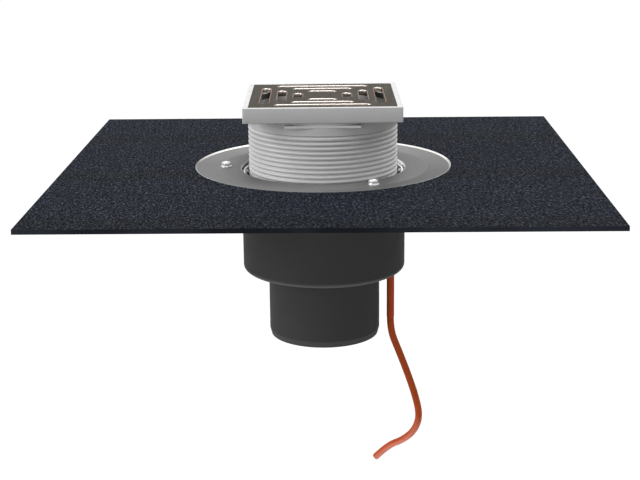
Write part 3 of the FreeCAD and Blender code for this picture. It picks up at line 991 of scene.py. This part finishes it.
def make_fasteners():
    washer = rounded([
        (WASHER_R_IN, WASHER_LOW, 0.2),
        (WASHER_R, WASHER_LOW, 0.25),
        (WASHER_R, NUT_LOW, 0.35),
        (WASHER_R_IN, NUT_LOW, 0.2),
    ], 4)
    meshes = {
        "nut": moved(hexagon(NUT_LOW, NUT_TOP, BOLT_R), degrees=NUT_TURN_DEG),
        "washer": turned(washer, 64),
        "bolt": bolt_mesh(),
    }
    for k in range(3):
        for name, mesh in meshes.items():
            placed = moved(mesh, x=BOLT_CIRCLE_R, degrees=FIRST_BOLT_DEG + 120 * k)
            piece(f"{name}_{k + 1}", placed, "drain", mat_fastener,
                  [f"clamp_{name}_{k + 1}"], sharp_deg=28)


make_fasteners()


# Seal holder

HOLDER_R = 78.4
HOLDER_R_IN = 76.2
HOLDER_TOP = -1.4
RIM_DEPTH = 1.0
HOLDER_FOOT_R = 83.7
HOLDER_FOOT_R_IN = 74.4
HOLDER_FOOT_LOW = -21.8
HOLDER_FOOT_TOP = -19.3
NUB = (73.3, 76.6, -1.2, 1.2, -4.5, -2.1)


def holder_part(radius, z, tilt):
    """Only the holder's rim is light; the wall below it is painted dark, a painted shade in the gap."""
    return 1 if z < HOLDER_TOP - RIM_DEPTH else 0


def make_seal_holder():
    ring = turned(rounded([
        (HOLDER_FOOT_R_IN, HOLDER_FOOT_LOW, 0.3),
        (HOLDER_FOOT_R, HOLDER_FOOT_LOW, 0.3),
        (HOLDER_FOOT_R, HOLDER_FOOT_TOP, 0.4),
        (HOLDER_R, HOLDER_FOOT_TOP, 0.6),
        (HOLDER_R, HOLDER_TOP, 0.8),
        (HOLDER_R_IN, HOLDER_TOP, 0.8),
        (HOLDER_R_IN, HOLDER_FOOT_TOP),
        (HOLDER_FOOT_R_IN, HOLDER_FOOT_TOP),
    ], 4))
    made = piece("holder_ring", ring, "drain", mat_holder, ["seal_holder"])
    tint(made, [mat_wall], holder_part)
    nubs = merged(*[moved(block(*NUB), degrees=90 * k) for k in range(4)])
    piece("holder_nubs", nubs, "drain", mat_holder, bevel=0.4)


make_seal_holder()


# Cable sleeve

SLEEVE_X = 66.2
SLEEVE_R = 3.8
SLEEVE_TOP = -97.0
SLEEVE_LOW = -154.0


def make_sleeve():
    section = rounded([
        (HAIR, SLEEVE_TOP),
        (SLEEVE_R, SLEEVE_TOP),
        (SLEEVE_R, SLEEVE_LOW, 0.7),
        (SLEEVE_R - 0.3, SLEEVE_LOW),
        (HAIR, SLEEVE_LOW),
    ], 4, False)
    mesh = turned(section, 64, closed=False)
    piece("sleeve", moved(mesh, x=SLEEVE_X), "drain", mat_sleeve, ["cable_sleeve"])


make_sleeve()


# Floor, light and background

FLOOR_HALF = 30.0
FLOOR_DROP = 0.001
FLOOR_GLOW = 1.08
GLOW_SHARE = 0.9
AMBIENT = 0.5
LIGHTS = [
    ("left", (-2.42, -0.71, 1.2), (0, 0, 0), 1.6, 0.66),
    ("right", (2.0, -0.6, 2.25), (0, 0, 0), 1.6, 0.24),
    ("low", (-1.2, -2.4, -0.05), (0, 0, -0.1), 1.2, 0.15),
    ("top", (0.4, 0.3, 2.8), (0, 0, 0), 1.6, 0.68),
]


def background_share(tree):
    """1 for rays that should see the plain white background, otherwise 0."""
    path = tree.nodes.new("ShaderNodeLightPath")
    share = path.outputs["Is Camera Ray"]
    for kind in ("Is Glossy Ray", "Is Transmission Ray"):
        larger = tree.nodes.new("ShaderNodeMath")
        larger.operation = "MAXIMUM"
        tree.links.new(share, larger.inputs[0])
        tree.links.new(path.outputs[kind], larger.inputs[1])
        share = larger.outputs[0]
    return share


def floor_material():
    """White to the camera and to reflections, plain grey to the light."""
    material = bpy.data.materials.new("floor")
    material.use_nodes = True
    tree = material.node_tree
    tree.nodes.clear()
    out = tree.nodes.new("ShaderNodeOutputMaterial")
    plain = tree.nodes.new("ShaderNodeBsdfDiffuse")
    plain.inputs["Color"].default_value = (0.75, 0.75, 0.75, 1)
    glow = tree.nodes.new("ShaderNodeEmission")
    glow.inputs["Color"].default_value = (1, 1, 1, 1)
    glow.inputs["Strength"].default_value = FLOOR_GLOW
    share = tree.nodes.new("ShaderNodeMath")
    share.operation = "MULTIPLY"
    share.inputs[1].default_value = GLOW_SHARE
    tree.links.new(background_share(tree), share.inputs[0])
    mix = tree.nodes.new("ShaderNodeMixShader")
    for source, index in ((share, 0), (plain, 1), (glow, 2)):
        tree.links.new(source.outputs[0], mix.inputs[index])
    tree.links.new(mix.outputs[0], out.inputs["Surface"])
    return material


def make_floor():
    z = cad_low.z - FLOOR_DROP
    corners = [(-1, -1), (1, -1), (1, 1), (-1, 1)]
    data = bpy.data.meshes.new("floor")
    data.from_pydata([(x * FLOOR_HALF, y * FLOOR_HALF, z) for x, y in corners], [], [(0, 1, 2, 3)])
    floor = bpy.data.objects.new("floor", data)
    bpy.context.scene.collection.objects.link(floor)
    data.materials.append(floor_material())


def make_world():
    world = bpy.data.worlds.new("studio")
    bpy.context.scene.world = world
    world.use_nodes = True
    tree = world.node_tree
    tree.nodes.clear()
    out = tree.nodes.new("ShaderNodeOutputWorld")
    sky = tree.nodes.new("ShaderNodeBackground")
    sky.inputs["Color"].default_value = (1, 1, 1, 1)
    strength = tree.nodes.new("ShaderNodeMapRange")
    strength.inputs["To Min"].default_value = AMBIENT
    strength.inputs["To Max"].default_value = 1.0
    tree.links.new(background_share(tree), strength.inputs["Value"])
    tree.links.new(strength.outputs["Result"], sky.inputs["Strength"])
    tree.links.new(sky.outputs[0], out.inputs["Surface"])


def add_area(name, place, target, size, share):
    """Square soft light whose share of full light on the target doesn't change with its distance."""
    data = bpy.data.lights.new(name, "AREA")
    data.shape = "SQUARE"
    data.size = size
    distance = (Vector(place) - Vector(target)).length
    data.energy = share * math.pi * math.pi * distance * distance
    light = bpy.data.objects.new(name, data)
    bpy.context.scene.collection.objects.link(light)
    light.location = place
    light.rotation_euler = (Vector(target) - Vector(place)).to_track_quat("-Z", "Y").to_euler()


make_floor()
make_world()
for light in LIGHTS:
    add_area(*light)

bpy.context.scene.view_settings.view_transform = "Standard"
